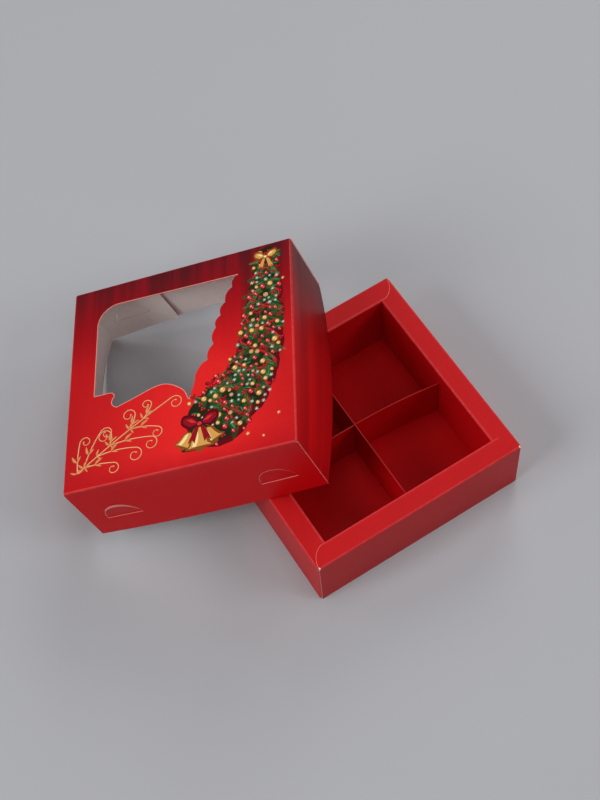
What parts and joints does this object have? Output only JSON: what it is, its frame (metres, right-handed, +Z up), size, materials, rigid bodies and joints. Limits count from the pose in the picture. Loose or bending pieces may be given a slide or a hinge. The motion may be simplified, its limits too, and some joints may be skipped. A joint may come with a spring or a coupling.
{
  "type": "folding gift box",
  "caption": "Folding paperboard sweet box: a square divided tray with a hollow rim, and a windowed lid with half-moon locks, leaning on the tray.",
  "frame": {"origin": "centre of the tray's base, on the table", "axes": "+Z up; X and Y along the tray's sides, with the lid leaning on its left (-X) and back (+Y) rims"},
  "size_m": [0.1759, 0.1737, 0.0767],
  "materials": {
    "tray_board": "satin red board",
    "divider_board": "satin red board with bare edges",
    "lid_board": "satin print outside, bare inside"
  },
  "bodies": {
    "tray": {"tray_corner_flap_back_left": "tray_board", "tray_corner_flap_back_right": "tray_board", "tray_corner_flap_front_left": "tray_board", "tray_corner_flap_front_right": "tray_board", "tray_floor": "tray_board", "tray_inner_wall_back": "tray_board", "tray_inner_wall_front": "tray_board", "tray_inner_wall_left": "tray_board", "tray_inner_wall_right": "tray_board", "tray_outer_wall_back": "tray_board", "tray_outer_wall_front": "tray_board", "tray_outer_wall_left": "tray_board", "tray_outer_wall_right": "tray_board", "tray_rim_back": "tray_board", "tray_rim_front": "tray_board", "tray_rim_left": "tray_board", "tray_rim_right": "tray_board"},
    "divider_lower": {"divider_lower": "divider_board"},
    "divider_upper": {"divider_upper": "divider_board"},
    "lid": {"lid_top": "lid_board", "lid_wall_left": "lid_board", "lid_wall_right": "lid_board", "lid_corner_flap_back_left": "lid_board", "lid_corner_flap_back_right": "lid_board", "lid_corner_flap_front_left": "lid_board", "lid_corner_flap_front_right": "lid_board"},
    "lid_front_wall": {"lid_wall_front": "lid_board"},
    "lid_back_wall": {"lid_wall_back": "lid_board"},
    "lock_tab_front_left": {"lock_tab_front_left": "lid_board"},
    "lock_tab_front_right": {"lock_tab_front_right": "lid_board"},
    "lock_tab_back_right": {"lock_tab_back_right": "lid_board"},
    "lock_tab_back_left": {"lock_tab_back_left": "lid_board"}
  },
  "joints": [
    {"name": "lid_lift", "type": "slide", "parent": "tray", "child": "lid", "axis": [0, 0, 1], "range_m": [0, 0.12]},
    {"name": "divider_lower_lift", "type": "slide", "parent": "tray", "child": "divider_lower", "axis": [0, 0, 1], "range_m": [0, 0.0055]},
    {"name": "divider_upper_lift", "type": "slide", "parent": "divider_lower", "child": "divider_upper", "axis": [0, 0, 1], "range_m": [0, 0.0055]},
    {"name": "front_wall_fold", "type": "hinge", "parent": "lid", "child": "lid_front_wall", "pos_m": [-0.08052, 0.00807, 0.06064], "axis": [-0.8366, 0.4543, -0.3062], "range_deg": [0, 90]},
    {"name": "lock_front_left", "type": "hinge", "parent": "lid", "child": "lock_tab_front_left", "pos_m": [-0.10449, 0.01895, 0.02632], "axis": [-0.8366, 0.4543, -0.3062], "range_deg": [0, 18]},
    {"name": "lock_front_right", "type": "hinge", "parent": "lid", "child": "lock_tab_front_right", "pos_m": [-0.04509, -0.0133, 0.04806], "axis": [-0.8366, 0.4543, -0.3062], "range_deg": [0, 18]},
    {"name": "back_wall_fold", "type": "hinge", "parent": "lid", "child": "lid_back_wall", "pos_m": [-0.02784, 0.09835, 0.05065], "axis": [0.8366, -0.4543, 0.3062], "range_deg": [0, 90]},
    {"name": "lock_back_right", "type": "hinge", "parent": "lid", "child": "lock_tab_back_right", "pos_m": [0.00699, 0.07594, 0.03818], "axis": [0.8366, -0.4543, 0.3062], "range_deg": [0, 18]},
    {"name": "lock_back_left", "type": "hinge", "parent": "lid", "child": "lock_tab_back_left", "pos_m": [-0.05241, 0.1082, 0.01644], "axis": [0.8366, -0.4543, 0.3062], "range_deg": [0, 18]}
  ]
}
